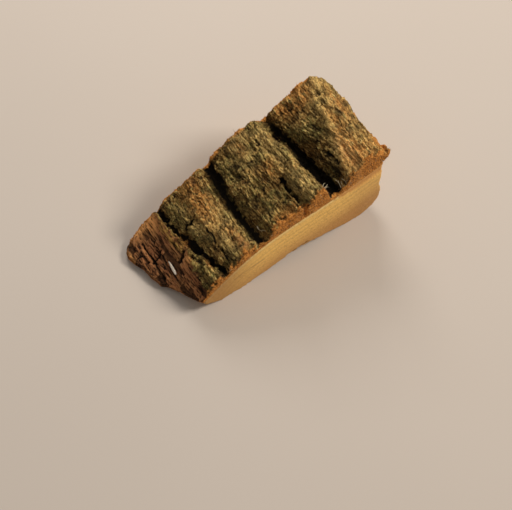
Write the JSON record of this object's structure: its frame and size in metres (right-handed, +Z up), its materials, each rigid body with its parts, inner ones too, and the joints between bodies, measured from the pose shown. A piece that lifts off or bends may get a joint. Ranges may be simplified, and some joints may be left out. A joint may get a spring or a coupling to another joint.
{
  "type": "wood smoking chunk",
  "caption": "Split wedge of pale hardwood with sawn ends, a split underside and thick, deeply furrowed mossy bark that thins to a flaked edge",
  "frame": {"origin": "middle of the bounding box in x and y, on the surface that the chunk lies on", "axes": "+X across the grain from the thin end to the thick end, +Y along the grain from the near sawn face to the far one, +Z up through the bark"},
  "size_m": [0.0902, 0.0388, 0.0403],
  "materials": {
    "wood": "sawn and split, unfinished",
    "bark": "rough furrowed bark with moss and lichen"
  },
  "bodies": {
    "root": {"wood": "wood", "bark": "bark"}
  },
  "joints": []
}
